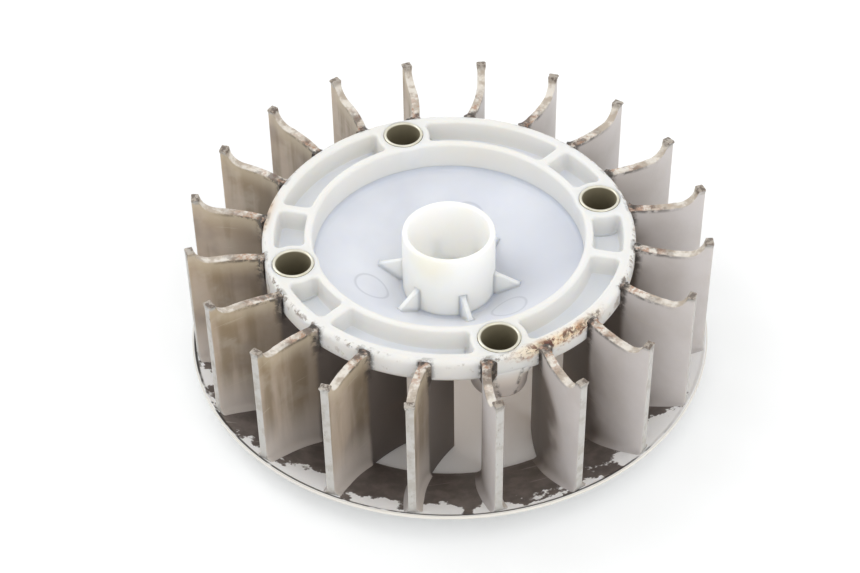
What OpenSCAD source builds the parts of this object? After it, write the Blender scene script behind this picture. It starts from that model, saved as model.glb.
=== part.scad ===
// Cooling fan wheel that bolts to the face of a magneto flywheel.
// One nylon moulding, modelled as its separate features, and four steel
// sleeves that line its bolt holes. It spins about Z. Z = 0 is the plane of
// the shroud's inlet edge and the blades' lower edges, and the hub's top face
// is the side that meets the flywheel. Bolt holes lie on X and Y.

/* [Shroud] */
// Diameter over the shroud's rim
fan_d = 130; // [124:1:140]
// Diameter of the inlet eye in the shroud
eye_d = 90.8; // [88:0.2:94]
// Height of the rim's underside above the eye's edge
rim_rise = 6.6; // [4:0.2:9]
// Thickness of the shroud
shroud_t = 1; // [0.8:0.1:2]

/* [Blades] */
// Number of blades, and how far round from the X axis the first tip stands
blade_count = 20; // [20:1:20]
// Angle of the first blade's tip
first_tip_angle = 10.5; // [9:0.5:12]
// Blade thickness
blade_t = 2.1; // [1.6:0.1:2.6]
// Radius of the blade's curve in plan
blade_curve_r = 41.5; // [38:0.5:50]
// Radius at the blade's outer edge
tip_r = 63.9; // [60:0.1:64]
// Height of the blade's top edge
blade_top = 38; // [36:0.2:38.2]
// Height of the pad that stands at each tip
pad_top = 42.2; // [41:0.2:45]
// Radial width of that pad
pad_w = 1.9; // [1.4:0.1:3]

/* [Hub] */
// Height of the hub's bolting face
hub_top = 38.4; // [38.4:0.2:42]
// Outer diameter of the hub's outer ring
ring_d = 91; // [91:0.2:92]
// Wall of the outer ring
ring_wall = 3.1; // [2.4:0.1:3.6]
// Outer diameter of the hub's inner ring
inner_ring_d = 70.4; // [69:0.2:71]
// Wall of the inner ring
inner_wall = 2; // [1.6:0.1:2.4]
// Height of the underside of the outer ring and the channel floor
ring_base = 31.7; // [30:0.1:33]
// Thickness of the channel floor
floor_t = 1.2; // [1:0.1:1.6]
// Thickness of a rib across the channel
rib_t = 2.4; // [2:0.1:3]
// Angle between a rib and the nearest bolt hole on X
rib_angle = 30; // [28:1:34]

/* [Dish and tube] */
// Outer diameter of the centre tube
tube_d = 23; // [22:0.2:24]
// Bore of the centre tube
tube_bore = 20; // [18:0.2:20.4]
// Height at which the dish meets the inner ring
dish_edge_z = 30.2; // [29.6:0.2:31]
// Height at which the dish meets the tube
dish_tube_z = 19.3; // [18:0.2:20]
// Thickness of the dish and of the tube's closed end
dish_t = 1.5; // [1.2:0.1:2]
// Radius of the dish's curve in section
dish_curve_r = 48.5; // [44:0.5:60]
// How far the gussets stand out from the axis
gusset_reach = 18; // [16:0.5:20]
// How far up the tube the gussets go
gusset_top = 26.9; // [25:0.1:28]
// Thickness of a gusset
gusset_t = 1.2; // [1:0.1:1.6]

/* [Bolt holes] */
// Diameter of the circle through the four bolt holes
bolt_circle_d = 78; // [77:0.5:79]
// Outer diameter of a boss
boss_d = 13.2; // [13:0.1:13.6]
// Height of a boss's lower end
boss_base = 24.7; // [22:0.1:27]
// Outer diameter of a sleeve
sleeve_d = 10; // [9.6:0.1:10.6]
// Bore of a sleeve
sleeve_bore = 8.4; // [8:0.1:8.8]
// How far a sleeve stands proud of the boss at each end
sleeve_proud = 0.2; // [0.1:0.1:0.4]

/* [Hidden] */
$fn = 96;

nylon = "ivory";
film = "tan";
clear_nylon = "lavender";
zinc = "khaki";

rim_r = fan_d / 2;
eye_r = eye_d / 2;
ring_r = ring_d / 2;
channel_out_r = ring_r - ring_wall;
channel_in_r = inner_ring_d / 2;
dish_r = channel_in_r - inner_wall;
tube_r = tube_d / 2;
bolt_r = bolt_circle_d / 2;
boss_r = boss_d / 2;
pad_fillet = pad_top - blade_top;
past = 1;

// The dish's lower surface is an arc through its two edges, so its centre is
// found from the chord between them.
chord_r = (dish_r + tube_r) / 2;
chord_z = (dish_edge_z + dish_tube_z) / 2;
chord_run = dish_r - tube_r;
chord_rise = dish_edge_z - dish_tube_z;
chord_len = sqrt(chord_run * chord_run + chord_rise * chord_rise);
chord_height = sqrt(dish_curve_r * dish_curve_r - chord_len * chord_len / 4);
dish_centre_r = chord_r + chord_height * chord_rise / chord_len;
dish_centre_z = chord_z - chord_height * chord_run / chord_len;

// The blade's plan curve is part of a circle whose centre lies beside it. Its
// tip direction lies along X before a blade is turned into its place.
curve_x = 55.7;
curve_y = blade_curve_r - 0.3;
tip_cut_angle = 16;

// Height of the shroud's upper face at radius r
function shroud_top(r) = shroud_t + rim_rise * (r - eye_r) / (rim_r - eye_r);

module turned(r_z_outline) {
    rotate_extrude()
        polygon(r_z_outline);
}

module tube_ring(outer_r, inner_r, low, high) {
    translate([0, 0, low])
        difference() {
            cylinder(r = outer_r, h = high - low);
            translate([0, 0, -past])
                cylinder(r = inner_r, h = high - low + 2 * past);
        }
}

module at_bolts() {
    for (quarter = [0:3])
        rotate(90 * quarter)
            translate([bolt_r, 0, 0])
                children();
}

// The room that the four bosses take up, which the other features leave free.
// From a lower start it also clears a way for the screws and their heads.
module boss_room(low = boss_base) {
    at_bolts()
        translate([0, 0, low])
            cylinder(r = boss_r, h = hub_top - low + past);
}

module shroud_disc() {
    color(nylon)
        turned([[eye_r, 0], [rim_r, rim_rise],
            [rim_r, rim_rise + shroud_t], [eye_r, shroud_t]]);
}

// Band of the blade's thickness along its plan curve
module blade_plan() {
    intersection() {
        difference() {
            translate([curve_x, curve_y])
                circle(r = blade_curve_r + blade_t / 2);
            translate([curve_x, curve_y])
                circle(r = blade_curve_r - blade_t / 2);
        }
        translate([0, -ring_r / 3])
            square([rim_r, ring_r / 2]);
        translate([tip_r, 0])
            rotate(tip_cut_angle)
                translate([-rim_r, -rim_r])
                    square([rim_r, 2 * rim_r]);
    }
}

// Section of a blade: along the shroud, up the tip, down the pad's hollow,
// back along the top edge and round the ring to the free inner edge
module blade_section() {
    difference() {
        polygon([[channel_in_r, 0], [eye_r, 0], [eye_r, shroud_t],
            [rim_r, shroud_top(rim_r)], [rim_r, pad_top],
            [tip_r - pad_w - pad_fillet, pad_top],
            [tip_r - pad_w - pad_fillet, blade_top],
            [ring_r, blade_top], [ring_r, ring_base], [channel_in_r, ring_base]]);
        translate([tip_r - pad_w - pad_fillet, pad_top])
            circle(r = pad_fillet);
    }
}

module blade(index) {
    color(film)
        difference() {
            intersection() {
                rotate(first_tip_angle + 360 / blade_count * (index - 1))
                    linear_extrude(height = pad_top + past)
                        blade_plan();
                rotate_extrude()
                    blade_section();
            }
            boss_room(-past);
        }
}

module outer_ring() {
    color(nylon)
        difference() {
            tube_ring(ring_r, channel_out_r, ring_base, hub_top);
            boss_room();
        }
}

module inner_ring() {
    color(nylon)
        difference() {
            tube_ring(channel_in_r, dish_r, dish_edge_z - dish_t, hub_top);
            boss_room();
        }
}

module channel_floor() {
    color(clear_nylon)
        difference() {
            tube_ring(channel_out_r, channel_in_r, ring_base, ring_base + floor_t);
            boss_room();
        }
}

module channel_ribs() {
    color(nylon)
        intersection() {
            tube_ring(channel_out_r, channel_in_r, ring_base + floor_t, hub_top);
            for (angle = [rib_angle, -rib_angle, 180 - rib_angle, 180 + rib_angle])
                rotate(angle)
                    translate([0, -rib_t / 2, 0])
                        cube([ring_r, rib_t, hub_top + past]);
        }
}

module dish_section() {
    intersection() {
        translate([dish_centre_r, dish_centre_z])
            difference() {
                circle(r = dish_curve_r);
                circle(r = dish_curve_r - dish_t);
            }
        translate([tube_r, 0])
            square([dish_r - tube_r, hub_top]);
    }
}

module dish_floor() {
    color(clear_nylon)
        difference() {
            rotate_extrude()
                dish_section();
            boss_room();
        }
}

module centre_tube() {
    base = dish_tube_z - dish_t - 1;
    color(nylon)
        difference() {
            translate([0, 0, base])
                cylinder(d = tube_d, h = hub_top - base);
            translate([0, 0, base + dish_t])
                cylinder(d = tube_bore, h = hub_top);
        }
}

module gusset_section() {
    difference() {
        polygon([[tube_r, dish_tube_z - dish_t],
            [gusset_reach, dish_tube_z - dish_t],
            [gusset_reach, dish_tube_z + 5],
            [tube_r, gusset_top]]);
        translate([dish_centre_r, dish_centre_z])
            circle(r = dish_curve_r);
    }
}

module tube_gussets() {
    color(nylon)
        intersection() {
            rotate_extrude()
                gusset_section();
            for (angle = [30:60:330])
                rotate(angle)
                    translate([0, -gusset_t / 2, 0])
                        cube([rim_r, gusset_t, hub_top]);
        }
}

module bolt_boss(index) {
    color(nylon)
        rotate(90 * (index - 1))
            difference() {
                intersection() {
                    translate([bolt_r, 0, boss_base])
                        cylinder(r = boss_r, h = hub_top - boss_base);
                    cylinder(r = ring_r, h = hub_top);
                }
                translate([bolt_r, 0, boss_base - past])
                    cylinder(d = sleeve_d, h = hub_top);
            }
}

module sleeve(index) {
    length = hub_top - boss_base + 2 * sleeve_proud;
    color(zinc)
        rotate(90 * (index - 1))
            translate([bolt_r, 0, boss_base - sleeve_proud])
                difference() {
                    cylinder(d = sleeve_d, h = length);
                    translate([0, 0, -past])
                        cylinder(d = sleeve_bore, h = length + 2 * past);
                }
}

shroud_disc();
blade(1);  // blade_01
blade(2);  // blade_02
blade(3);  // blade_03
blade(4);  // blade_04
blade(5);  // blade_05
blade(6);  // blade_06
blade(7);  // blade_07
blade(8);  // blade_08
blade(9);  // blade_09
blade(10);  // blade_10
blade(11);  // blade_11
blade(12);  // blade_12
blade(13);  // blade_13
blade(14);  // blade_14
blade(15);  // blade_15
blade(16);  // blade_16
blade(17);  // blade_17
blade(18);  // blade_18
blade(19);  // blade_19
blade(20);  // blade_20
outer_ring();
inner_ring();
channel_floor();
channel_ribs();
dish_floor();
centre_tube();
tube_gussets();
bolt_boss(1);  // bolt_boss_1
bolt_boss(2);  // bolt_boss_2
bolt_boss(3);  // bolt_boss_3
bolt_boss(4);  // bolt_boss_4
sleeve(1);  // sleeve_1
sleeve(2);  // sleeve_2
sleeve(3);  // sleeve_3
sleeve(4);  // sleeve_4
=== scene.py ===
"""Visible surfaces of a cooling fan wheel that bolts to a magneto flywheel."""

import math

import bmesh
import bpy
from bpy.props import FloatProperty, FloatVectorProperty, IntProperty, PointerProperty
from mathutils import Matrix, Vector, noise


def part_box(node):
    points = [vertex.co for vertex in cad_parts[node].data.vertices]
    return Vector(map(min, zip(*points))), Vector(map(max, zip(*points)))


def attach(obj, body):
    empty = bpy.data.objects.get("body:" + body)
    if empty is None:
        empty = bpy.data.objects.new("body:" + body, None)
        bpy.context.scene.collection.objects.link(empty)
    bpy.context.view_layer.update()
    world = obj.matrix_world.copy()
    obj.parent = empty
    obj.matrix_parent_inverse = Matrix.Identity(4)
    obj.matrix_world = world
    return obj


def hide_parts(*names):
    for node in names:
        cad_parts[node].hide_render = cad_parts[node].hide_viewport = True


bl_info = {
    "name": "Flywheel Fan Wheel",
    "version": (1, 0, 0),
    "blender": (4, 5, 0),
    "location": "View3D > Sidebar > Fan Wheel",
    "description": "Builds the moulded fan wheel, its metal sleeves and a plain stage",
    "category": "Mesh",
}

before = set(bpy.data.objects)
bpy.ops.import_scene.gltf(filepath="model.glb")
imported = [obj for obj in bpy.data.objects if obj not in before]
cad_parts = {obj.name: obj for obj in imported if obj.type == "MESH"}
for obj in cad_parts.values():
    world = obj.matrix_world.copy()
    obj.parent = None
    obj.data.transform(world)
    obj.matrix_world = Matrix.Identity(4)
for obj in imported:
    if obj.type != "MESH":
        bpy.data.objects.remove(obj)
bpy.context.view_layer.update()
MM = 0.001


def side_of(node, axis=0):
    """Farthest reach of a node along one axis, from its solid."""
    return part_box(node)[1][axis]


def linear(hex_colour):
    """Linear RGBA of an sRGB hex colour."""
    channels = [int(hex_colour[i:i + 2], 16) / 255 for i in (0, 2, 4)]
    return tuple(c / 12.92 if c <= 0.04045 else ((c + 0.055) / 1.055) ** 2.4
                 for c in channels) + (1.0,)


def smooth(low, high, value):
    """0 below low, 1 above high, and a smooth rise between."""
    t = min(max((value - low) / (high - low), 0.0), 1.0)
    return t * t * (3 - 2 * t)


def cove(depth, radius):
    """How far a concave fillet stands out at this distance from the corner."""
    if depth >= radius:
        return 0.0
    rise = radius - max(depth, 0.0)
    return radius - math.sqrt(max(radius * radius - rise * rise, 0.0))


def quarter_turn(steps):
    """Sine and cosine at even steps of a quarter turn."""
    angles = [math.pi / 2 * i / steps for i in range(steps + 1)]
    return [(math.sin(a), math.cos(a)) for a in angles]


# ---------------------------------------------------------------- properties

class FAN_PG_sizes(bpy.types.PropertyGroup):
    """Sizes that the visible surfaces share."""
    rim_radius: FloatProperty(
        name="Rim Radius", description="Outer radius of the conical shroud",
        default=side_of("shroud_disc"), unit="LENGTH")
    rim_top: FloatProperty(
        name="Rim Top", description="Height of the shroud's upper face at the rim",
        default=side_of("shroud_disc", 2), unit="LENGTH")
    eye_radius: FloatProperty(
        name="Eye Radius", description="Radius of the open inlet eye",
        default=45.4 * MM, unit="LENGTH")
    shroud_skin: FloatProperty(
        name="Shroud Skin", description="Thickness of the shroud",
        default=1.0 * MM, unit="LENGTH")
    blade_count: IntProperty(
        name="Blades", description="Number of curved blades, one for each solid",
        default=20, min=20, max=20)
    blade_skin: FloatProperty(
        name="Blade Skin", description="Thickness of a blade",
        default=2.1 * MM, unit="LENGTH")
    blade_top: FloatProperty(
        name="Blade Top", description="Height of a blade's top edge",
        default=38.0 * MM, unit="LENGTH")
    pad_top: FloatProperty(
        name="Pad Top", description="Height of the pad on a blade's tip",
        default=side_of("blade_01", 2), unit="LENGTH")
    hub_top: FloatProperty(
        name="Hub Top", description="Height of the bolting face",
        default=side_of("outer_ring", 2), unit="LENGTH")
    ring_radius: FloatProperty(
        name="Ring Radius", description="Outer radius of the hub's outer ring",
        default=side_of("outer_ring"), unit="LENGTH")
    ring_base: FloatProperty(
        name="Ring Base", description="Height of the outer ring's lower face",
        default=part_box("outer_ring")[0].z, unit="LENGTH")
    bolt_radius: FloatProperty(
        name="Bolt Circle Radius", description="Radius through the bolt holes",
        default=39.0 * MM, unit="LENGTH")
    mould_round: FloatProperty(
        name="Moulded Corner", description="Radius of the channel's inside corners",
        default=1.3 * MM, unit="LENGTH")


class FAN_PG_finish(bpy.types.PropertyGroup):
    """Colours of the nylon, its dirt and the sleeves."""
    nylon: FloatVectorProperty(
        name="Nylon", description="Clean natural nylon",
        default=linear("E2E2E1"), subtype="COLOR", size=4, min=0, max=1)
    thin_nylon: FloatVectorProperty(
        name="Thin Nylon", description="Thin nylon with light passing through",
        default=linear("E5E8F0"), subtype="COLOR", size=4, min=0, max=1)
    film: FloatVectorProperty(
        name="Dirt Film", description="Brown film on the blades' hollow sides",
        default=linear("B9A998"), subtype="COLOR", size=4, min=0, max=1)
    # also the painted shade on the blades under the ring, as well as soot
    deep_film_and_shade: FloatVectorProperty(
        name="Deep Film", description="Film near the blades' roots",
        default=linear("6A615B"), subtype="COLOR", size=4, min=0, max=1)
    haze: FloatVectorProperty(
        name="Grey Haze", description="Thin film on the blades' outer sides",
        default=linear("C9C4C3"), subtype="COLOR", size=4, min=0, max=1)
    deposit: FloatVectorProperty(
        name="Deposit", description="Caked deposit on the shroud",
        default=linear("625A56"), subtype="COLOR", size=4, min=0, max=1)
    grime: FloatVectorProperty(
        name="Grime", description="Black grime in corners",
        default=linear("2B2622"), subtype="COLOR", size=4, min=0, max=1)
    rust: FloatVectorProperty(
        name="Rust", description="Rust dust on worn edges",
        default=linear("A9713F"), subtype="COLOR", size=4, min=0, max=1)
    zinc: FloatVectorProperty(
        name="Yellow Zinc", description="Passivated zinc plate on the sleeves",
        default=linear("E3E0D2"), subtype="COLOR", size=4, min=0, max=1)


class FAN_PG_stage(bpy.types.PropertyGroup):
    """Light and camera."""
    lens: FloatProperty(
        name="Lens", description="Focal length on a 36 mm sensor",
        default=86.6, subtype="DISTANCE_CAMERA")
    key_power: FloatProperty(
        name="Key Light", description="Power of the large key light",
        default=1.7, unit="POWER")
    sky_strength: FloatProperty(
        name="Surround", description="Brightness of the plain white surround",
        default=1.06)
    glow_power: FloatProperty(
        name="Light Through Dish", description="Power of the light that passes the thin nylon",
        default=0.0024, unit="POWER")
    floor_colour: FloatVectorProperty(
        name="Floor", description="Colour of the plain floor",
        default=linear("FBFCFD"), subtype="COLOR", size=4, min=0, max=1)


# ------------------------------------------------------------ mesh building

def finish_piece(name, bm, materials, stands_for, sharp=35):
    """Turns a bmesh into a piece of the wheel. Edges over sharp degrees stay crisp."""
    bmesh.ops.remove_doubles(bm, verts=bm.verts, dist=0.004 * MM)
    bmesh.ops.dissolve_degenerate(bm, dist=0.002 * MM, edges=bm.edges)
    bmesh.ops.recalc_face_normals(bm, faces=bm.faces)
    mesh = bpy.data.meshes.new(name)
    bm.to_mesh(mesh)
    bm.free()
    mesh.shade_smooth()
    mesh.set_sharp_from_angle(angle=math.radians(sharp))
    piece = bpy.data.objects.new(name, mesh)
    bpy.context.scene.collection.objects.link(piece)
    for material in materials:
        mesh.materials.append(material)
    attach(piece, "root")
    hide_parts(*stands_for)


def chain(bm, points, closed=False):
    """Vertices joined by edges, in order."""
    verts = [bm.verts.new(p) for p in points]
    edges = [bm.edges.new(pair) for pair in zip(verts, verts[1:])]
    if closed:
        edges.append(bm.edges.new((verts[-1], verts[0])))
    return verts, edges


def turn(bm, outline, steps, centre=(0, 0, 0), closed=True):
    """Spins an outline of (radius, height) pairs a full turn about Z."""
    verts, edges = chain(bm, [(centre[0] + r, centre[1], z) for r, z in outline], closed)
    bmesh.ops.spin(bm, geom=verts + edges, cent=centre, axis=(0, 0, 1),
                   angle=math.tau, steps=steps, use_merge=True)


def run_on(bm, rows):
    """Extrudes a closed loop from the first row of points through the others. Gives the
    edges of its first and last loops."""
    verts, edges = chain(bm, rows[0], True)
    first = edges
    for row in rows[1:]:
        made = bmesh.ops.extrude_edge_only(bm, edges=edges)["geom"]
        fresh = {v for v in made if isinstance(v, bmesh.types.BMVert)}
        verts = [next(e.other_vert(vert) for e in vert.link_edges
                      if e.other_vert(vert) in fresh) for vert in verts]
        for vert, point in zip(verts, row):
            vert.co = point
        edges = [e for e in made if isinstance(e, bmesh.types.BMEdge)
                 and e.verts[0] in fresh and e.verts[1] in fresh]
    return first, edges


def ring_row(radius, height, steps):
    """Points round the axis; radius may be a function of the angle."""
    angles = [math.tau * i / steps for i in range(steps)]
    radii = [radius(a) if callable(radius) else radius for a in angles]
    return [(r * math.cos(a), r * math.sin(a), height) for r, a in zip(radii, angles)]


EDGE_ROUND = 0.3 * MM
# rows crowd towards both edges of a plate, where it is rounded and filleted
EDGE_ROWS = [d * MM for d in (0, 0.06, 0.2, 0.42, 0.75, 1.25, 2, 3, 4.6)]


def plate(bm, path, low, high, half, ribs=24, marks=None):
    """A closed thin plate that stands along a path. low and high give its edges' heights at a
    place on the path, and half its half thickness at a place and height. marks fills the
    plate's vertex layers."""
    loop = [(1, i) for i in range(ribs + 1)] + [(-1, i) for i in range(ribs, -1, -1)]
    rows, crowd = len(path) - 1, len(EDGE_ROWS)
    grid = bmesh.ops.create_grid(bm, x_segments=rows, y_segments=len(loop), size=0.5)["verts"]
    for vert in grid:
        station = path[min(round((vert.co.x + 0.5) * rows), rows)]
        side, rib = loop[round((vert.co.y + 0.5) * len(loop)) % len(loop)]
        bottom, top = low(station), high(station)
        fit = min(1, (top - bottom) / (2.3 * EDGE_ROWS[-1]))
        if rib < crowd:
            z = bottom + EDGE_ROWS[rib] * fit
        elif rib > ribs - crowd:
            z = top - EDGE_ROWS[ribs - rib] * fit
        else:
            share = (rib - crowd + 1) / (ribs - 2 * crowd + 2)
            z = bottom + EDGE_ROWS[-1] * fit + share * (top - bottom - 2 * EDGE_ROWS[-1] * fit)
        near = min(z - bottom, top - z)
        width = half(station, z)
        if near < EDGE_ROUND:
            width -= EDGE_ROUND - math.sqrt(
                max(EDGE_ROUND * EDGE_ROUND - (EDGE_ROUND - near) ** 2, 0))
        point = station["at"] + station["across"] * (side * max(width, 0.05 * MM))
        vert.co = (point.x, point.y, z)
        if marks:
            marks(vert, station, side, (z - bottom) / (top - bottom))
    bmesh.ops.remove_doubles(bm, verts=grid, dist=0.002 * MM)
    ends = [e for e in bm.edges if e.is_boundary]
    if ends:
        bmesh.ops.holes_fill(bm, edges=ends, sides=0)


# ---------------------------------------------------------------- materials

def add(tree, kind, sockets=None, **settings):
    """Adds a node, sets it, and fills its sockets with values or links."""
    node = tree.nodes.new(kind)
    for name, value in settings.items():
        setattr(node, name, value)
    for socket, value in (sockets or {}).items():
        if isinstance(value, bpy.types.NodeSocket):
            tree.links.new(value, node.inputs[socket])
        else:
            node.inputs[socket].default_value = value
    return node


def new_material(name):
    """An empty node material and its tree, with a shader joined to its output."""
    material = bpy.data.materials.new(name)
    material.use_nodes = True
    tree = material.node_tree
    tree.nodes.clear()
    shader = add(tree, "ShaderNodeBsdfPrincipled")
    add(tree, "ShaderNodeOutputMaterial", {"Surface": shader.outputs[0]})
    return material, tree, shader


def place_of(tree):
    """Sockets for the place on the wheel: point, x, height and radius."""
    spot = add(tree, "ShaderNodeTexCoord").outputs["Object"]
    parts = add(tree, "ShaderNodeSeparateXYZ", {0: spot})
    flat = add(tree, "ShaderNodeCombineXYZ", {0: parts.outputs[0], 1: parts.outputs[1]})
    radius = add(tree, "ShaderNodeVectorMath", {0: flat.outputs[0]}, operation="LENGTH")
    return spot, parts.outputs[0], parts.outputs[2], radius.outputs["Value"]


def grain(tree, spot, size_mm, detail=3.0, rough=0.55, stretch=(1, 1, 1), turn_z=0.0,
          shift=(0, 0, 0)):
    """An uneven pattern whose features are about size_mm across."""
    placed = add(tree, "ShaderNodeMapping",
                 {"Vector": spot, "Location": shift, "Rotation": (0, 0, turn_z), "Scale": stretch})
    return add(tree, "ShaderNodeTexNoise",
               {"Vector": placed.outputs[0], "Scale": 1000 / size_mm, "Detail": detail,
                "Roughness": rough}).outputs["Fac"]


def cover(tree, share, *limits):
    """How much of a coat shows: its share, wherever every limit holds. A limit is another
    cover, or a value with where it starts and where it is full."""
    shown = None
    for limit in limits:
        if isinstance(limit, tuple):
            limit = add(tree, "ShaderNodeMapRange", dict(enumerate(limit)),
                        interpolation_type="SMOOTHSTEP").outputs[0]
        shown = limit if shown is None else add(
            tree, "ShaderNodeMath", {0: shown, 1: limit}, operation="MULTIPLY").outputs[0]
    if share == 1:
        return shown
    return add(tree, "ShaderNodeMath", {0: shown, 1: share}, operation="MULTIPLY").outputs[0]


def patch(tree, spot, centre, start, full):
    """A cover that starts at one distance from a centre and is full at another, in mm."""
    away = add(tree, "ShaderNodeVectorMath", {0: spot, 1: [c * MM for c in centre]},
               operation="DISTANCE").outputs["Value"]
    return cover(tree, 1, (away, start * MM, full * MM))


def pushed(tree, value, *pushes):
    """A value raised by shares of others, or lowered where the share is below zero."""
    for share, other in pushes:
        value = add(tree, "ShaderNodeMath", {0: other, 1: share, 2: value},
                    operation="MULTIPLY_ADD").outputs[0]
    return value


def coats(tree, colour, *layers):
    """Colours laid over each other in order, each with how much of it shows."""
    for shown, over in layers:
        under, over = (linear(c) if isinstance(c, str) else c for c in (colour, over))
        colour = add(tree, "ShaderNodeMix", {0: shown, 6: under, 7: over},
                     data_type="RGBA").outputs[2]
    return colour


def wax_nylon(tree, shader, colour, relief, rough=0.42, depth=0.6, reach=2.2):
    """Nylon lets light in under its skin, so it glows softly and its shadows are pale.
    relief is the skin's pattern, its strength, and its height in mm."""
    skin, strength, height = relief
    bump = add(tree, "ShaderNodeBump",
               {"Height": skin, "Strength": strength, "Distance": height * MM})
    tree.links.new(bump.outputs[0], shader.inputs["Normal"])
    tree.links.new(colour, shader.inputs["Base Color"])
    shader.inputs["Roughness"].default_value = rough
    shader.inputs["IOR"].default_value = 1.53
    shader.inputs["Subsurface Weight"].default_value = depth
    shader.inputs["Subsurface Radius"].default_value = (1.0, 0.86, 0.66)
    shader.inputs["Subsurface Scale"].default_value = reach * MM


def hub_nylon(finish):
    """Natural nylon 6, injection moulded and tumbled clean by handling: a waxy ivory with a
    fine satin skin, faint stains, rust dust on worn edges and black grime in the corners."""
    material, tree, shader = new_material("moulded_nylon_hub")
    spot, _, z, radius = place_of(tree)
    corners = add(tree, "ShaderNodeAttribute", attribute_name="grime").outputs["Fac"]
    edge = cover(tree, 1, (radius, 42.8 * MM, 45.2 * MM))
    rubbed = cover(tree, 1, edge, patch(tree, spot, (14, -44, 38), 17, 5))
    body = coats(
        tree, finish.nylon[:],
        (cover(tree, 0.5, (grain(tree, spot, 26, 2), 0.35, 0.75)), "DEDBD3"),
        # a yellow stain, rust dust and burnt specks where the ring's top edge was rubbed
        (cover(tree, 0.5, rubbed, (z, 35 * MM, 37.5 * MM)), "E6C483"),
        (cover(tree, 0.8, rubbed, (z, 34 * MM, 36 * MM),
               (grain(tree, spot, 2.6, 4, 0.65), 0.50, 0.62)), finish.rust[:]),
        (cover(tree, 1, rubbed, (z, 35 * MM, 37 * MM),
               (grain(tree, spot, 2.2, 5, 0.7, shift=(6, 1, 2)), 0.53, 0.58)), "6B3B28"),
        # brown smudges and a broken dark line along the edge
        (cover(tree, 0.55, (radius, 44 * MM, 45.3 * MM),
               (grain(tree, spot, 5.5, 4, 0.7, shift=(3, 1, 0)), 0.56, 0.68)), "8D7B66"),
        (cover(tree, 0.75, (radius, 44.3 * MM, 44.9 * MM), (z, 36.9 * MM, 37.6 * MM),
               (grain(tree, spot, 1.3, 4, 0.7, shift=(9, 2, 6)), 0.48, 0.58),
               (grain(tree, spot, 9, 2, 0.5, shift=(5, 5, 5)), 0.45, 0.53)), "6B5A4C"),
        # painted shade: the outer ring is darkened towards its lower edge, and the bosses that hang
        # under the ring darker still
        (cover(tree, 1, (z, 34 * MM, 30 * MM), (radius, 40 * MM, 45 * MM)), "CFC6BD"),
        (cover(tree, 0.8, (z, 31 * MM, 27 * MM)), "B0A6A0"),
        (cover(tree, 0.5, edge, patch(tree, spot, (-41, 20, 38), 9, 2)), "C39A66"),
        (cover(tree, 1, corners, (grain(tree, spot, 1.8, 5, 0.68), 0.42, 0.54)),
         finish.grime[:]))
    wax_nylon(tree, shader, body, (grain(tree, spot, 0.5, 2), 0.12, 0.1))
    return material


def thin_nylon(finish):
    """The same nylon where it is 1 to 2 mm thick: its bluish, glassy tint is painted light,
    standing for the light that passes through, with faint flow marks and rings left by the mould's
    pins."""
    material, tree, shader = new_material("thin_translucent_nylon")
    spot, _, _, radius = place_of(tree)
    body = coats(
        tree, finish.thin_nylon[:],
        (cover(tree, 0.55, (grain(tree, spot, 18, 3, 0.5), 0.3, 0.75)), "D0D4DF"),
        # painted shadow: a darker patch on the dish beside the tube, where the tube's shadow falls
        (cover(tree, 0.55, patch(tree, spot, (22, -4, 27), 24, 6)), "BFC4D0"),
        # the channel's floor is whiter than the dish
        (cover(tree, 1, (radius, 33.6 * MM, 34.4 * MM)), "E9EBEE"))
    for angle in (60, 180, 300):
        pin = (20 * math.cos(math.radians(angle)), 20 * math.sin(math.radians(angle)), 25)
        ring = cover(tree, 0.35, patch(tree, spot, pin, 3.9, 4.4), patch(tree, spot, pin, 5.0, 4.5))
        body = coats(tree, body, (ring, "9FA5B2"))
    wax_nylon(tree, shader, body, (grain(tree, spot, 0.7, 2), 0.08, 0.1), 0.3, 0.7, 4)
    return material


def tube_nylon(finish):
    """The same nylon in a thick upright wall: a warmer ivory, faintly yellow where it stained at
    the rim, and lighter than the hub's nylon as painted light for the light the thick wall lets
    through."""
    material, tree, shader = new_material("warm_nylon_tube_painted_light")
    spot, _, _, radius = place_of(tree)
    body = coats(
        tree, "FAF9F3",
        (cover(tree, 0.5, (grain(tree, spot, 14, 2), 0.35, 0.7)), "F6F4EB"),
        (cover(tree, 0.45, patch(tree, spot, (-8, -9, 37), 9, 2)), "F0E5CB"),
        # painted light: the bore is lighter still, for light that comes in through the wall
        (cover(tree, 1, (radius, 10.5 * MM, 10.1 * MM)), "FFFEFA"))
    wax_nylon(tree, shader, body, (grain(tree, spot, 0.5, 2), 0.1, 0.1), 0.38, 0.8, 4)
    return material


# what a blade's vertices carry: how far out they are and how far up, which side they are on,
# and where the blade is rubbed bare, has its top edge, and holds grime
BLADE_MARKS = ("along", "rise", "hollow", "bare", "crown", "grime")


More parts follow.
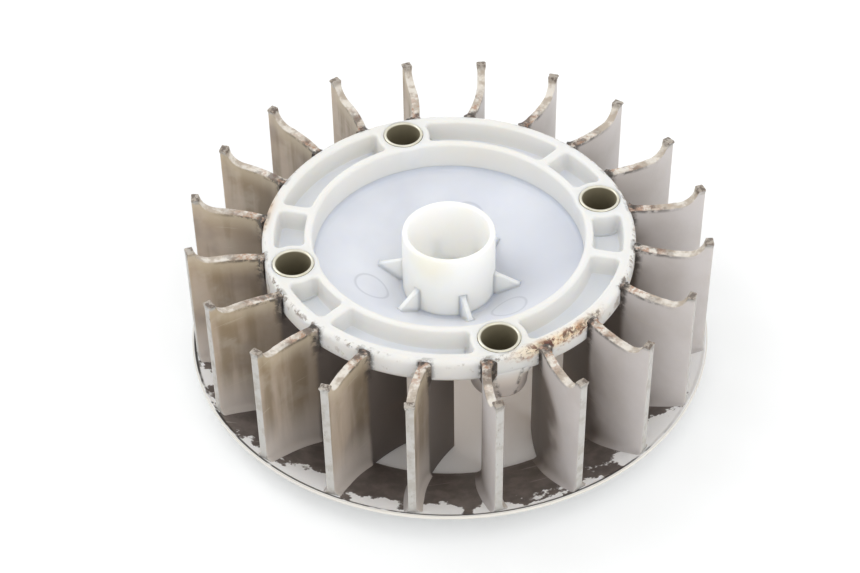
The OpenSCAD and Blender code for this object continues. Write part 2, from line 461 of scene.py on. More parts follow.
def blade_nylon(finish):
    """Nylon that has run in dusty air: a baked brown film on the hollow sides, a grey haze on
    the outer sides, a few long scratches, dirt on the top edges and paler rubbed tips."""
    material, tree, shader = new_material("nylon_under_dirt_film")
    spot, _, z, _ = place_of(tree)
    along, rise, hollow, bare, crown, grime = (
        add(tree, "ShaderNodeAttribute", attribute_name=mark).outputs["Fac"]
        for mark in BLADE_MARKS)
    patches = grain(tree, spot, 13, 4, 0.6)
    wavy = pushed(tree, along, (0.06, patches))
    film = coats(
        tree, finish.film[:],
        # runs of the film, drawn out from the shroud to the top edge
        (cover(tree, 0.75, (grain(tree, spot, 4.5, 3, 0.5, stretch=(1, 1, 0.1)), 0.42, 0.62)),
         "87775F"),
        (cover(tree, 0.6, (rise, 0.6, 1.0), (patches, 0.35, 0.6)), "8A734F"),
        (cover(tree, 0.4, (grain(tree, spot, 7, 3, 0.6, shift=(5, 3, 2)), 0.48, 0.68)), "BDB2A4"),
        (cover(tree, 0.5, (grain(tree, spot, 22, 3, 0.6, shift=(8, 8, 1)), 0.5, 0.66)), "7C7068"),
        # thicker towards the root, thin by the shroud and under the top edge
        (cover(tree, 0.45, (along, 0.82, 0.46)), "6A5D4E"),
        (cover(tree, 0.9, (rise, 0.48, 0.0)), "D6CEC7"),
        (cover(tree, 0.55, (rise, 0.82, 0.98)), "C6B9A2"),
        # painted shade: near black over the film where the blade runs under the ring and against
        # its outer wall
        (cover(tree, 1, (wavy, 0.44, 0.385)), finish.deep_film_and_shade[:]))
    # soot thickens towards the root, most of all down by the shroud and under the rusty edge
    sooty = pushed(tree, wavy, (0.5, grain(tree, spot, 16, 3, 0.6, shift=(1, 1, 6))),
                   (0.36, rise), (-0.26, patch(tree, spot, (9, -47, 20), 15, 8)))
    haze = coats(
        tree, finish.haze[:],
        (cover(tree, 0.4, (patches, 0.35, 0.7)), "B4ADA7"),
        (cover(tree, 0.75, (sooty, 1.12, 0.70)), "85786F"),
        (cover(tree, 0.9, (sooty, 0.93, 0.74)), finish.deep_film_and_shade[:]),
        # painted shade: the same near black under the ring on the outer side
        (cover(tree, 1, (wavy, 0.46, 0.40)), finish.deep_film_and_shade[:]))
    scratch = grain(tree, spot, 2.6, 1, 0.4, stretch=(0.12, 0.12, 4), turn_z=0.4)
    # bare nylon with fine flecks shows where the film is rubbed off
    flecks = grain(tree, spot, 0.9, 4, 0.7, stretch=(1, 1, 0.3), shift=(3, 3, 8))
    stained = coats(
        tree, "B4B2AE",
        (cover(tree, 1, (grain(tree, spot, 3.0, 4, 0.6, shift=(1, 8, 3)), 0.45, 0.65)), "A5A099"),
        (cover(tree, 0.6, (flecks, 0.62, 0.66)), "7C6F63"))
    rubbed = pushed(tree, bare, (1, grain(tree, spot, 2.4, 4, 0.62)))
    # top edges: caked and rusty near the root, paler further out, bruised on the pads
    pad = cover(tree, 1, (z, 40.5 * MM, 41.6 * MM))
    worn = coats(
        tree, "DAD4CB",
        (cover(tree, 1, (grain(tree, spot, 3.4, 4, 0.6, shift=(2, 5, 1)), 0.42, 0.60)), "B3A799"),
        (cover(tree, 0.7, (grain(tree, spot, 1.8, 5, 0.7, shift=(4, 9, 1)), 0.48, 0.58),
               (along, 0.78, 0.45)), "A06C48"),
        (cover(tree, 0.8, (grain(tree, spot, 4.5, 5, 0.62, shift=(7, 2, 4)), 0.50, 0.60),
               (along, 0.86, 0.45)), "5A4C43"),
        (cover(tree, 0.7, pad), "958D84"),
        (cover(tree, 0.8, pad, (grain(tree, spot, 1.5, 4, 0.7, shift=(6, 3, 9)), 0.46, 0.56)),
         "54463C"))
    body = coats(
        tree, haze,
        (hollow, film),
        (cover(tree, 0.3, (scratch, 0.73, 0.76), (wavy, 0.40, 0.48)), "CFC5B4"),
        (cover(tree, 1, (rubbed, 0.84, 1.22)), stained),
        (crown, worn),
        (cover(tree, 1, grime, (grain(tree, spot, 1.9, 5, 0.66), 0.40, 0.56)), finish.grime[:]))
    wax_nylon(tree, shader, body, (grain(tree, spot, 0.9, 3), 0.2, 0.12), 0.48, 0.2)
    return material


def shroud_nylon(finish):
    """Thin nylon cone whose upper side carries a caked brown-grey deposit. Near the rim it is
    scraped off in ragged white patches, and the side away from the road stayed cleaner."""
    material, tree, shader = new_material("nylon_with_scraped_deposit")
    spot, x, _, radius = place_of(tree)
    up = add(tree, "ShaderNodeSeparateXYZ",
             {0: add(tree, "ShaderNodeNewGeometry").outputs["Normal"]}).outputs[2]
    upper = cover(tree, 1, (up, 0.2, 0.6))
    # how much holds on: everything near the eye, less towards the rim and on the clean side,
    # where one patch was left
    level = pushed(
        tree, grain(tree, spot, 12, 5, 0.6), (0.12, grain(tree, spot, 1.6, 3, 0.6)),
        (-0.27, cover(tree, 1, (radius, 52 * MM, 65 * MM))),
        (-0.20, cover(tree, 1, (x, 10 * MM, 52 * MM))),
        (0.26, patch(tree, spot, (43, -42, 5), 10, 3)))
    held = cover(tree, 1, (level, 0.325, 0.36), upper, (radius, 64.5 * MM, 64.1 * MM))
    streak = grain(tree, spot, 3, 2, 0.5, stretch=(0.12, 3, 1), turn_z=0.8)
    cake = coats(
        tree, finish.deposit[:],
        (cover(tree, 1, (grain(tree, spot, 4, 4, 0.6), 0.35, 0.7)), "7A716C"),
        (cover(tree, 0.4, (streak, 0.68, 0.72)), "B5AFA8"))
    body = coats(
        tree, finish.nylon[:],
        # painted light: the upper face towards the rim is pure white, lighter than the same nylon
        # elsewhere, standing for light falling between the blades
        (cover(tree, 1, upper, (radius, 50 * MM, 60 * MM)), "FFFFFF"),
        (cover(tree, 1, (radius, 64.55 * MM, 64.8 * MM)), "DAD6CF"),
        # faint scuffs on the lower side
        (cover(tree, 0.45, (grain(tree, spot, 14, 4, 0.65, shift=(2, 7, 3)), 0.45, 0.7),
               (up, 0.0, -0.4)), "C9C4BC"),
        (held, cake),
        # a dark seam just inside the rim
        (cover(tree, 0.95, upper, (x, 45 * MM, 25 * MM), (radius, 63.75 * MM, 64.1 * MM),
               (radius, 64.7 * MM, 64.4 * MM),
               (grain(tree, spot, 10, 3, 0.6, shift=(4, 4, 4)), 0.36, 0.46)), finish.grime[:]))
    wax_nylon(tree, shader, body, (held, 0.35, 0.15), 0.45, 0.1)
    return material


def zinc_plate(finish):
    """Steel tube with yellow passivated zinc: a bright pale-gold rim, and a bore that has
    dulled to olive brown."""
    material, tree, shader = new_material("yellow_zinc_plated_steel")
    spot, _, z, _ = place_of(tree)
    deep = cover(tree, 1, (z, 38.55 * MM, 38.1 * MM))
    body = coats(
        tree, finish.zinc[:],
        (cover(tree, 0.4, (grain(tree, spot, 2.2, 3), 0.4, 0.7)), "CFC7AA"),
        (deep, "A19A84"))
    tree.links.new(body, shader.inputs["Base Color"])
    shader.inputs["Metallic"].default_value = 1.0
    dull = add(tree, "ShaderNodeMapRange", {0: deep, 3: 0.3, 4: 0.85}).outputs[0]
    tree.links.new(dull, shader.inputs["Roughness"])
    lathe = grain(tree, spot, 0.4, 2, 0.5, stretch=(0.2, 0.2, 4))
    bump = add(tree, "ShaderNodeBump", {"Height": lathe, "Strength": 0.15, "Distance": 0.05 * MM})
    tree.links.new(bump.outputs[0], shader.inputs["Normal"])
    return material


# ------------------------------------------------------------------- pieces

# how far the first blade is turned
FIRST_TIP = math.radians(10.5)
# plan curve of a blade before it is turned: an arc, and the angle where it ends
CURVE_RADIUS = 41.5 * MM
CURVE_CENTRE = Vector((55.7 * MM, 41.2 * MM, 0))
CURVE_END = 0.196

# the channel between the rings, and the dish inside them
CHANNEL_INNER, CHANNEL_OUTER = 35.2 * MM, 42.4 * MM
RIB_HALF, BOSS_RADIUS = 1.25 * MM, 6.75 * MM
INNER_WALL, INNER_BASE = 33.2 * MM, 28.7 * MM
# radius inside the inner ring's wall, where the dish and the bosses run in
BURIED = 33.6 * MM
TUBE_RADIUS = 11.5 * MM
DISH_CURVE_R, DISH_CURVE_Z, DISH_CURVE = 42.95 * MM, -17.3 * MM, 48.5 * MM
HOLE_RADIUS, HOLE_CLEAR = 5.0 * MM, 5.3 * MM
ROUND_STEPS = 360


def cone_rise(s, radius):
    """How far the shroud has risen from its eye."""
    slope = (s.rim_top - s.shroud_skin) / (s.rim_radius - s.eye_radius)
    return slope * (radius - s.eye_radius)


def dish_height(r, drop=0.0):
    """Height of the dish's upper face, or of a face a drop below it."""
    return DISH_CURVE_Z + math.sqrt((DISH_CURVE - drop) ** 2 - (r - DISH_CURVE_R) ** 2)


def off_bolt(angle, s):
    """How far out at this angle the nearest bolt stands, and how far aside."""
    near = (angle + math.pi / 4) % (math.pi / 2) - math.pi / 4
    return s.bolt_radius * math.cos(near), s.bolt_radius * math.sin(near)


def bolt_place(quarter, s):
    """Where a bolt stands, so many quarter turns round from X."""
    angle = math.pi / 2 * quarter
    return s.bolt_radius * math.cos(angle), s.bolt_radius * math.sin(angle)


def blade_path(angle, start_radius, stations):
    """Stations along a blade's plan curve, from its root to its tip."""
    def place(a):
        return CURVE_CENTRE + CURVE_RADIUS * Vector((math.sin(a), -math.cos(a), 0))

    root = -0.55
    while place(root).length < start_radius:
        root += 0.0005
    turned = Matrix.Rotation(angle, 3, "Z")
    path = []
    # stations crowd at the tip, where the blade thins to its rounded edge
    for share in [i / stations for i in range(stations)] + [0.986, 0.992, 0.996, 0.9985, 1]:
        a = root + (CURVE_END - root) * share
        at, inward = place(a), Vector((-math.sin(a), math.cos(a), 0))
        path.append({"at": turned @ at, "across": turned @ inward, "radius": at.length})
    return path


class FAN_OT_shroud(bpy.types.Operator):
    """Turn the conical shroud with its open inlet eye"""
    bl_idname = "fan.shroud"
    bl_label = "Shroud"

    def execute(self, context):
        s = context.scene.fan_sizes
        eye, rim, skin, top = s.eye_radius, s.rim_radius, s.shroud_skin, s.rim_top
        outline = [(eye + 0.25 * MM, 0.02 * MM), (eye + 0.05 * MM, 0.12 * MM),
                   (eye, 0.4 * MM), (eye + 0.03 * MM, skin - 0.25 * MM),
                   (eye + 0.25 * MM, skin + 0.04 * MM)]
        for share in (0.08, 0.2, 0.35, 0.5, 0.65, 0.8, 0.92):
            r = eye + (rim - eye) * share
            outline.append((r, skin + cone_rise(s, r)))
        outline += [(rim - 0.9 * MM, top - 0.3 * MM), (rim - 0.75 * MM, top - 0.12 * MM),
                    (rim - 0.35 * MM, top), (rim - 0.08 * MM, top - 0.1 * MM),
                    (rim, top - 0.35 * MM), (rim, top - skin + 0.2 * MM),
                    (rim - 0.2 * MM, top - skin)]
        for share in (0.9, 0.6, 0.3):
            r = eye + (rim - eye) * share
            outline.append((r, cone_rise(s, r)))
        bm = bmesh.new()
        turn(bm, outline, 300)
        finish_piece("shroud_cone", bm, [shroud_nylon(context.scene.fan_finish)],
                     ["shroud_disc"], 50)
        return {"FINISHED"}


class FAN_OT_blades(bpy.types.Operator):
    """Build the curved blades with their tip pads"""
    bl_idname = "fan.blades"
    bl_label = "Blades"

    def execute(self, context):
        s = context.scene.fan_sizes
        material = blade_nylon(context.scene.fan_finish)
        half_skin = s.blade_skin / 2
        pad_start, fillet = 61.9 * MM, s.pad_top - s.blade_top

        def seat(station):
            return s.shroud_skin + cone_rise(s, station["radius"])

        def low(station):
            into_eye = smooth(s.eye_radius - 0.1 * MM, s.eye_radius + 0.6 * MM, station["radius"])
            return (seat(station) - 0.45 * MM) * into_eye

        def high(station):
            r, wear = station["radius"], station["wear"]
            if r < 43.6 * MM:
                return s.ring_base + 0.4 * MM
            if r < s.ring_radius - 0.6 * MM:
                return s.blade_top - 0.3 * MM
            into = pad_start - r
            if into < 0:
                return s.pad_top - 0.12 * MM * wear
            if into < fillet:
                arc = fillet - math.sqrt(max(fillet ** 2 - (fillet - into) ** 2, 0))
                return s.blade_top + arc
            nick = 0.12 * MM * noise.noise(Vector((r * 700, wear * 9, 0)))
            return s.blade_top + nick

        def half(station, z):
            r, wear = station["radius"], station["wear"]
            width = half_skin * (1 - 0.1 * smooth(56 * MM, 63.5 * MM, r))
            width -= 0.22 * MM * smooth(63.65 * MM, 63.92 * MM, r)
            foot = cove(z - seat(station), 1.5 * MM) if r > s.eye_radius - 0.2 * MM else 0
            foot *= smooth(s.eye_radius - 0.2 * MM, s.eye_radius + 1.5 * MM, r)
            foot *= smooth(64.4 * MM, 63.2 * MM, r) * 0.7 + 0.3
            root = cove(r - s.ring_radius, 1.3 * MM) if r > s.ring_radius - 0.2 * MM else 0
            root *= smooth(s.ring_base - 0.8 * MM, s.ring_base + 0.6 * MM, z)
            root *= smooth(s.blade_top + 0.2 * MM, s.blade_top - 0.5 * MM, z) * 0.6 + 0.4
            # the pad's head is hammered over a little
            head = smooth(s.pad_top - 1.2 * MM, s.pad_top - 0.35 * MM, z)
            head *= smooth(60.6 * MM, 61.8 * MM, r)
            ragged = 0.6 + 0.8 * abs(noise.noise(Vector((r * 900, z * 1100, wear * 7))))
            return width + max(foot, root) + head * ragged * 0.42 * MM

        for index in range(s.blade_count):
            name = f"blade_{index + 1:02d}"
            # every fifth blade stops outside a boss; the others run in to the inner ring
            start = 44.3 * MM if (index + 1) % 5 == 0 else 35.25 * MM
            path = blade_path(FIRST_TIP + math.tau * index / s.blade_count, start, 54)
            for station in path:
                station["wear"] = math.sin(index * 2.4) * 0.5 + 0.5
            bm = bmesh.new()
            layers = {key: bm.verts.layers.float.new(key) for key in BLADE_MARKS}

            def marks(vert, station, side, rise, layers=layers):
                r, z = station["radius"], vert.co.z
                beyond = smooth(s.ring_radius - 1 * MM, s.ring_radius + 0.5 * MM, r)
                below = high(station) - z
                near_tip = smooth(63.5 * MM, 63.8 * MM, r)
                foot = smooth(2.2 * MM, 0.3 * MM, z - seat(station)) * smooth(55 * MM, 63 * MM, r)
                pad = smooth(s.blade_top + 1.2 * MM, s.blade_top + 3 * MM, z) * 0.55
                dark = smooth(2.2 * MM, 0.3 * MM, abs(r - s.ring_radius - 0.3 * MM))
                dark *= smooth(s.ring_base - 5 * MM, s.ring_base + 3 * MM, z)
                line = smooth(0.1 * MM, 0.3 * MM, below) * smooth(1.3 * MM, 0.5 * MM, below)
                line *= beyond * max(smooth(61 * MM, 50 * MM, r),
                                     0.7 * smooth(61.5 * MM, 62 * MM, r))
                for key, value in (
                        ("along", (r - 35 * MM) / (29 * MM)), ("rise", rise),
                        ("hollow", 1.0 if side > 0 else 0.0),
                        ("bare", max(near_tip * 0.9, foot * 0.35, pad)),
                        ("crown", smooth(0.42 * MM, 0.1 * MM, below) * beyond),
                        ("grime", max(0.95 * dark, 0.8 * line))):
                    vert[layers[key]] = value

            plate(bm, path, low, high, half, 26, marks)
            finish_piece(f"fan_{name}", bm, [material], [name], 40)
        return {"FINISHED"}


def bay_outline(reach, inset, s):
    """Closed outline of one channel bay, from the boss on X round to a rib reach radians away.
    A positive inset moves it inwards. Every inset gives the same number of points."""
    boss, rho = Vector((s.bolt_radius, 0)), s.mould_round
    normal = Vector((-math.sin(reach), math.cos(reach)))

    def by_boss(radius):
        gap = BOSS_RADIUS + rho
        return math.acos((radius ** 2 + boss.x ** 2 - gap ** 2) / (2 * radius * boss.x))

    def by_rib(radius):
        return reach - math.asin((RIB_HALF + rho) / radius)

    def arc(centre, radius, first, last, count):
        turn_by = (last - first + math.pi) % math.tau - math.pi
        return [centre + radius * Vector((math.cos(first + turn_by * i / count),
                                          math.sin(first + turn_by * i / count)))
                for i in range(count)]

    def heading(v):
        return math.atan2(v.y, v.x)

    zero = Vector((0, 0))
    low, high = CHANNEL_INNER + rho, CHANNEL_OUTER - rho
    a = [by_boss(low), by_rib(low), by_rib(high), by_boss(high)]
    c = [r * Vector((math.cos(t), math.sin(t))) for r, t in zip((low, low, high, high), a)]
    corner = rho - inset
    side_a, side_b = c[1] + corner * normal, c[2] + corner * normal
    points = arc(zero, CHANNEL_INNER + inset, a[0], a[1], 40)
    points += arc(c[1], corner, heading(-c[1]), heading(normal), 7)
    points += [side_a.lerp(side_b, i / 6) for i in range(6)]
    points += arc(c[2], corner, heading(normal), heading(c[2]), 7)
    points += arc(zero, CHANNEL_OUTER - inset, a[2], a[3], 44)
    points += arc(c[3], corner, heading(c[3]), heading(boss - c[3]), 7)
    points += arc(boss, BOSS_RADIUS + inset, heading(c[3] - boss), heading(c[0] - boss), 14)
    points += arc(c[0], corner, heading(boss - c[0]), heading(-c[0]), 7)
    return points


class FAN_OT_rings(bpy.types.Operator):
    """Build the two rings, the ribs and the channel between them"""
    bl_idname = "fan.rings"
    bl_label = "Rings and Channel"

    def execute(self, context):
        s = context.scene.fan_sizes
        finish = context.scene.fan_finish
        top, base, outside = s.hub_top, s.ring_base, s.ring_radius
        bm = bmesh.new()
        grime = bm.verts.layers.float.new("grime")
        land_edges, under_edges = [], []

        # outer edge, wall and underside, in to the inner ring's foot
        edge, foot = 1.5 * MM, 1.6 * MM
        rows = [ring_row(outside - 1.7 * MM, top, ROUND_STEPS),
                ring_row(outside - edge, top, ROUND_STEPS)]
        rows += [ring_row(outside - edge * (1 - sin), top - edge * (1 - cos), ROUND_STEPS)
                 for sin, cos in quarter_turn(6)[1:]]
        rows.append(ring_row(outside, base + 3.2 * MM, ROUND_STEPS))
        rows += [ring_row(outside - foot * (1 - cos), base + foot * (1 - sin), ROUND_STEPS)
                 for sin, cos in quarter_turn(6)]
        first, last = run_on(bm, rows)
        land_edges += first
        under_edges += last

        def clear_of_bolt(radius):
            """The radius, drawn in where a bolt hole would be cut."""
            def at(angle):
                out, aside = off_bolt(angle, s)
                if abs(aside) >= HOLE_CLEAR:
                    return radius
                return min(radius, out - math.sqrt(HOLE_CLEAR ** 2 - aside ** 2))
            return at

        first, _ = run_on(bm, [ring_row(clear_of_bolt(r * MM), z, ROUND_STEPS) for r, z in (
            (36.2, base), (35.6, base - 0.15 * MM), (35.3, base - 0.6 * MM), (35.2, 29.6 * MM),
            (34.9, 29.0 * MM), (34.4, 28.75 * MM), (33.2, INNER_BASE))])
        under_edges += first

        # inner edge and wall, with a slight swelling at each boss
        def bulge(angle):
            out, aside = off_bolt(angle, s)
            if abs(aside) > 6 * MM:
                return 0.0
            past = INNER_WALL - (out - math.sqrt((6.2 * MM) ** 2 - aside ** 2))
            return 0.5 * (past + math.sqrt(past ** 2 + (0.4 * MM) ** 2)) * smooth(
                6 * MM, 3.5 * MM, abs(aside))

        def wall(extra, share=1):
            return lambda angle: INNER_WALL + extra - bulge(angle) * share

        edge = 0.8 * MM
        rows = [ring_row(wall(1.0 * MM), top, 480), ring_row(wall(edge), top, 480)]
        rows += [ring_row(wall(edge * (1 - sin)), top - edge * (1 - cos), 480)
                 for sin, cos in quarter_turn(5)[1:]]
        rows += [ring_row(wall(0, share), z * MM, 480)
                 for z, share in ((35, 1), (33.5, 0.9), (32.3, 0.55), (31.2, 0))]
        rows.append(ring_row(INNER_WALL, INNER_BASE, 480))
        land_edges += run_on(bm, rows)[0]

        # bays of the channel: inset and depth in mm, down the rounded edge, wall and cove
        depths = [(-0.75, 0.0), (-0.6, 0.0), (-0.42, 0.06), (-0.18, 0.22), (-0.04, 0.46),
                  (0.0, 0.75), (0.12, 3.2), (0.2, 4.3), (0.38, 4.9), (0.68, 5.28), (1.1, 5.44),
                  (1.2, 5.45)]
        floors = []
        # ribs stand 30 degrees from the bolts on X, and 60 from those on Y
        for quarter, reach in ((0, 30), (0, -30), (1, -60), (1, 60), (2, -30), (2, 30),
                               (3, -60), (3, 60)):
            placed = Matrix.Rotation(math.pi / 2 * quarter, 2)
            side = math.copysign(1, reach)
            rows = [[(*(placed @ Vector((p.x, p.y * side))), top - depth * MM)
                     for p in bay_outline(math.radians(abs(reach)), inset * MM, s)]
                    for inset, depth in depths]
            first, last = run_on(bm, rows)
            land_edges += first
            floors.append((last, 1))

        # bolt holes
        for quarter in range(4):
            cx, cy = bolt_place(quarter, s)
            rows = [[(cx + x, cy + y, z) for x, y, z in ring_row(r * MM, top - d * MM, 64)]
                    for r, d in ((5.35, 0), (5.25, 0), (5.08, 0.12), (5.02, 0.35), (5.0, 2.5),
                                 (5.0, (top - base) / MM))]
            first, last = run_on(bm, rows)
            land_edges += first
            under_edges += last

        for edges, facing in [(land_edges, 1), (under_edges, -1)] + floors:
            bmesh.ops.triangle_fill(bm, use_beauty=True, use_dissolve=False, edges=edges,
                                    normal=(0, 0, facing))
        # the channel's floor is thin nylon
        for face in bm.faces:
            if all(base + 0.9 * MM < v.co.z < top - 5.2 * MM for v in face.verts):
                if face.calc_center_median().xy.length < 42 * MM:
                    face.material_index = 1

        # grime gathers against the blades on the outer wall
        pitch = math.tau / s.blade_count
        for vert in bm.verts:
            if vert.co.xy.length < outside - 1.3 * MM or vert.co.z < base + 0.5 * MM:
                continue
            angle = math.atan2(vert.co.y, vert.co.x) - FIRST_TIP - math.radians(1.2)
            gap = abs((angle + pitch / 2) % pitch - pitch / 2)
            near = smooth(math.radians(3.0), math.radians(1.4), gap)
            vert[grime] = near * (0.35 + 0.65 * smooth(top - 0.1 * MM, top - 1.2 * MM, vert.co.z))
        finish_piece("hub_rings", bm, [hub_nylon(finish), thin_nylon(finish)],
                     ["outer_ring", "inner_ring", "channel_floor", "channel_ribs"], 60)
        return {"FINISHED"}


class FAN_OT_dish(bpy.types.Operator):
    """Turn the curved thin dish between the inner ring and the tube"""
    bl_idname = "fan.dish"
    bl_label = "Dish"

    def execute(self, context):
        skin = 1.5 * MM
        outline = [(BURIED, 31.4 * MM), (INNER_WALL, 31.3 * MM)]
        for r in (33.05, 32.8, 32.5, 32.1, 31.7):
            rise = cove(INNER_WALL - r * MM, 1.5 * MM)
            outline.append((r * MM, dish_height(r * MM) + rise * 0.75))
        outline += [(r * MM, dish_height(r * MM)) for r in [31.2 - 0.9 * i for i in range(21)]]
        for r in (12.9, 12.5, 12.1, 11.8, 11.6):
            outline.append((r * MM, dish_height(r * MM) + cove(r * MM - TUBE_RADIUS, 1.4 * MM)))
        outline.append((11.2 * MM, 21.3 * MM))
        outline.append((11.2 * MM, dish_height(11.6 * MM, skin)))
        outline += [(r * MM, dish_height(r * MM, skin))
                    for r in (12.5, 15, 18, 21, 24, 27, 30, 32.4)]
        outline.append((BURIED, dish_height(33.4 * MM, skin)))
        bm = bmesh.new()
        turn(bm, outline, 192)
        finish_piece("hub_dish", bm, [thin_nylon(context.scene.fan_finish)],
                     ["dish_floor"], 70)
        return {"FINISHED"}


class FAN_OT_tube(bpy.types.Operator):
    """Turn the centre tube and stand the gussets round it"""
    bl_idname = "fan.tube"
    bl_label = "Tube and Gussets"

    def execute(self, context):
        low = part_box("centre_tube")[0].z
        outline = [(0, low), (10.3 * MM, low), (11.2 * MM, low + 0.3 * MM),
                   (TUBE_RADIUS, low + 1.2 * MM)]
        outline += [(r * MM, z * MM) for r, z in (
            (11.5, 26), (11.42, 37.4), (11.3, 37.95), (11.0, 38.25), (10.65, 38.3),
            (10.3, 38.2), (10.1, 37.9), (10.02, 37.3), (10.0, 28), (10.0, 19.6), (9.7, 18.7),
            (8.9, 18.3), (0, 18.3))]
        bm = bmesh.new()
        turn(bm, outline, 160, closed=False)
        material = tube_nylon(context.scene.fan_finish)
        finish_piece("hub_tube", bm, [material], ["centre_tube"], 60)

        def high_edge(station):
            share = (station["radius"] - TUBE_RADIUS) / (6.6 * MM)
            return max(26.9 * MM - share * 2.45 * MM, dish_height(station["radius"]) + 0.12 * MM)

        def half(station, z):
            foot = cove(z - dish_height(station["radius"]), 0.7 * MM)
            wall = cove(station["radius"] - TUBE_RADIUS, 0.7 * MM)
            return 0.58 * MM + max(foot, wall)

        bm = bmesh.new()
        for k in range(6):
            angle = math.radians(30 + 60 * k)
            out = Vector((math.cos(angle), math.sin(angle), 0))
            across = Vector((-out.y, out.x, 0))
            path = [{"at": out * r * MM, "across": across, "radius": r * MM}
                    for r in (11.3, 11.6, 11.9, 12.3, 13, 14, 15, 16, 16.8, 17.4, 17.9)]
            part = bmesh.new()
            plate(part, path, lambda t: dish_height(t["radius"]) - 0.3 * MM, high_edge, half, 18)
            mesh = bpy.data.meshes.new("gusset")
            part.to_mesh(mesh)
            part.free()
            bm.from_mesh(mesh)
            bpy.data.meshes.remove(mesh)
        finish_piece("hub_gussets", bm, [material], ["tube_gussets"], 50)
        return {"FINISHED"}


class FAN_OT_bosses(bpy.types.Operator):
    """Build the tapered bosses that hang below the rings"""
    bl_idname = "fan.bosses"
    bl_label = "Bolt Bosses"

    def execute(self, context):
        s = context.scene.fan_sizes
        material = hub_nylon(context.scene.fan_finish)
        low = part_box("bolt_boss_1")[0].z
        limit = s.ring_radius
        # (height, how far the lower rim is rounded in); the boss starts at 24.7 and tapers
        levels = [(z, 0) for z in (33.6, 33.25, 32.5, 31.7, 31.2, 30.2, 28.6, 27, 26)]
        levels += [(25.5, -0.03), (25.1, -0.18), (24.85, -0.42), (24.7, -0.8)]
        foot = levels[-1][0]
        for quarter in range(4):
            centre = Vector(bolt_place(quarter, s))

            def row(radius, z, centre=centre):
                """A loop round the bolt, held inside the ring's wall and outside the dish's."""
                points = []
                for x, y, _ in ring_row(radius, 0, 96):
                    p = centre + Vector((x, y))
                    reach = limit if z < 33.3 * MM else limit - 0.4 * MM
                    if p.length > reach:
                        p = p.normalized() * reach
                    if z > 28.6 * MM and p.length < BURIED:
                        p = p.normalized() * BURIED
                    points.append((p.x, p.y, z))
                return points

            rows = []
            for z, pull in levels:
                radius = (6.6 + 0.6 * (z - foot) / 7 + pull) * MM
                radius += cove((31.7 - z) * MM, 0.8 * MM) if z < 31.75 else 0.8 * MM
                rows.append(row(radius, low + (z - foot) * MM))
            rows += [row(HOLE_CLEAR, low), row(5.05 * MM, low + 0.1 * MM),
                     row(HOLE_RADIUS, low + 1 * MM)]
            bm = bmesh.new()
            grime = bm.verts.layers.float.new("grime")
            run_on(bm, rows)
            # a dark line follows each side of the flat that runs down from the ring
            for vert in bm.verts:
                offset = abs(vert.co.xy.cross(centre.normalized()))
                edge_at = 1.7 * MM + (vert.co.z - 25 * MM) * 0.24
                outer = smooth(limit - 0.6 * MM, limit - 0.2 * MM, vert.co.xy.length)
                vert[grime] = 0.7 * outer * smooth(0.7 * MM, 0.1 * MM, abs(offset - edge_at))
            name = f"bolt_boss_{quarter + 1}"
            finish_piece(f"hub_{name}", bm, [material], [name], 50)
        return {"FINISHED"}


class FAN_OT_sleeves(bpy.types.Operator):
    """Turn the plated steel sleeves that line the bolt holes"""
    bl_idname = "fan.sleeves"
    bl_label = "Sleeves"

    def execute(self, context):
        s = context.scene.fan_sizes
        material = zinc_plate(context.scene.fan_finish)
        low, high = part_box("sleeve_1")
        outline = [(4.2, 0.7), (4.25, 0.3), (4.42, 0.05), (4.6, 0.0), (4.85, 0.03), (4.97, 0.16),
                   (5.0, 0.4)]
        lower = [(r * MM, low.z + d * MM) for r, d in reversed(outline)]
        upper = [(r * MM, high.z - d * MM) for r, d in outline]
        for quarter in range(4):
            bm = bmesh.new()
            turn(bm, lower + upper, 72, (*bolt_place(quarter, s), 0))
            name = f"sleeve_{quarter + 1}"
            finish_piece(f"steel_{name}", bm, [material], [name], 50)
        return {"FINISHED"}


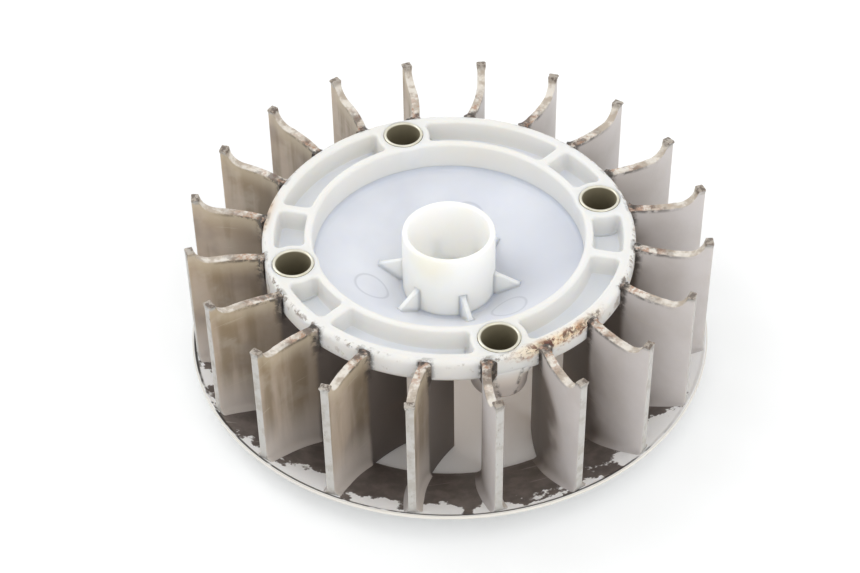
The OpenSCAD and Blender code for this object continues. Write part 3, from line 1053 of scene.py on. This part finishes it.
class FAN_OT_stage(bpy.types.Operator):
    """Lay the floor, hang the lights and set the camera"""
    bl_idname = "fan.stage"
    bl_label = "Stage"

    def execute(self, context):
        look = context.scene.fan_stage
        bm = bmesh.new()
        bmesh.ops.create_grid(bm, x_segments=1, y_segments=1, size=6)
        mesh = bpy.data.meshes.new("plain_floor")
        bm.to_mesh(mesh)
        bm.free()
        floor = bpy.data.objects.new("plain_floor", mesh)
        # a hair below the wheel, so that their faces don't coincide
        floor.location.z = -0.1 * MM
        context.scene.collection.objects.link(floor)
        material, _, shader = new_material("matt_white_paper")
        shader.inputs["Base Color"].default_value = look.floor_colour[:]
        shader.inputs["Roughness"].default_value = 0.75
        mesh.materials.append(material)

        world = bpy.data.worlds.new("plain_surround")
        world.use_nodes = True
        sky = world.node_tree.nodes["Background"]
        sky.inputs["Color"].default_value = linear("FBFBFA")
        sky.inputs["Strength"].default_value = look.sky_strength
        context.scene.world = world
        # plain display, so that white paper comes out white
        context.scene.view_settings.view_transform = "Standard"

        for name, place, size, power in (
                ("key_light", (-0.55, 0.55, 0.75), 0.6, look.key_power),
                ("fill_light", (0.15, -0.95, 0.42), 0.9, look.key_power * 1.4),
                ("light_through_dish", (0, 0, 0.0165), 0.084, look.glow_power)):
            data = bpy.data.lights.new(name, "AREA")
            data.size = size
            data.energy = power
            lamp = bpy.data.objects.new(name, data)
            lamp.location = place
            aim = Vector((0, 0, 0.02)) - Vector(place)
            if name == "light_through_dish":
                # daylight that has come through the thin nylon, warm and weak
                data.color = linear("FFD39E")[:3]
                data.shape = "DISK"
                aim = Vector((0, 0, -1))
                lamp.visible_camera = False
            lamp.rotation_euler = aim.to_track_quat("-Z", "Y").to_euler()
            context.scene.collection.objects.link(lamp)

        # camera: stands off by so many units, tipped down by lean, rolled a little, and
        # swung round the wheel's axis
        unit, lean, roll, swing = 63.5 * MM, math.radians(42.889), -0.0171, math.radians(-16.3)
        back = Vector((0, -math.cos(lean), math.sin(lean)))
        right, up = Vector((1, 0, 0)), Vector((0, math.sin(lean), math.cos(lean)))
        place = (back * 8.2631 - right * 0.07515 + up * 0.15269) * unit
        across = right * math.cos(roll) + up * math.sin(roll)
        above = up * math.cos(roll) - right * math.sin(roll)
        turned = Matrix.Rotation(swing, 3, "Z")
        axes = Matrix((turned @ across, turned @ above, turned @ back)).transposed()
        data = bpy.data.cameras.new("view")
        data.lens = look.lens
        data.sensor_width = 36
        data.clip_start = 0.01
        camera = bpy.data.objects.new("view", data)
        camera.matrix_world = Matrix.Translation(
            turned @ place + Vector((0, 0, 0.104 * unit))) @ axes.to_4x4()
        context.scene.collection.objects.link(camera)
        context.scene.camera = camera
        return {"FINISHED"}


class FAN_PT_panel(bpy.types.Panel):
    """Everything the wheel is built from"""
    bl_idname = "FAN_PT_panel"
    bl_label = "Fan Wheel"
    bl_space_type = "VIEW_3D"
    bl_region_type = "UI"
    bl_category = "Fan Wheel"

    def draw(self, context):
        column = self.layout.column()
        for group in (context.scene.fan_sizes, context.scene.fan_finish, context.scene.fan_stage):
            for name in group.__annotations__:
                column.prop(group, name)
        for operator in PIECES:
            column.operator(operator.bl_idname)


GROUPS = (FAN_PG_sizes, FAN_PG_finish, FAN_PG_stage)
PIECES = (FAN_OT_shroud, FAN_OT_blades, FAN_OT_rings, FAN_OT_dish, FAN_OT_tube, FAN_OT_bosses,
          FAN_OT_sleeves, FAN_OT_stage)


def register():
    for cls in (*GROUPS, *PIECES, FAN_PT_panel):
        bpy.utils.register_class(cls)
    bpy.types.Scene.fan_sizes = PointerProperty(type=FAN_PG_sizes)
    bpy.types.Scene.fan_finish = PointerProperty(type=FAN_PG_finish)
    bpy.types.Scene.fan_stage = PointerProperty(type=FAN_PG_stage)


def unregister():
    del bpy.types.Scene.fan_stage, bpy.types.Scene.fan_finish, bpy.types.Scene.fan_sizes
    for cls in reversed((*GROUPS, *PIECES, FAN_PT_panel)):
        bpy.utils.unregister_class(cls)


def main():
    register()
    bpy.ops.fan.shroud()
    bpy.ops.fan.blades()
    bpy.ops.fan.rings()
    bpy.ops.fan.dish()
    bpy.ops.fan.tube()
    bpy.ops.fan.bosses()
    bpy.ops.fan.sleeves()
    bpy.ops.fan.stage()


if __name__ == "__main__":
    main()
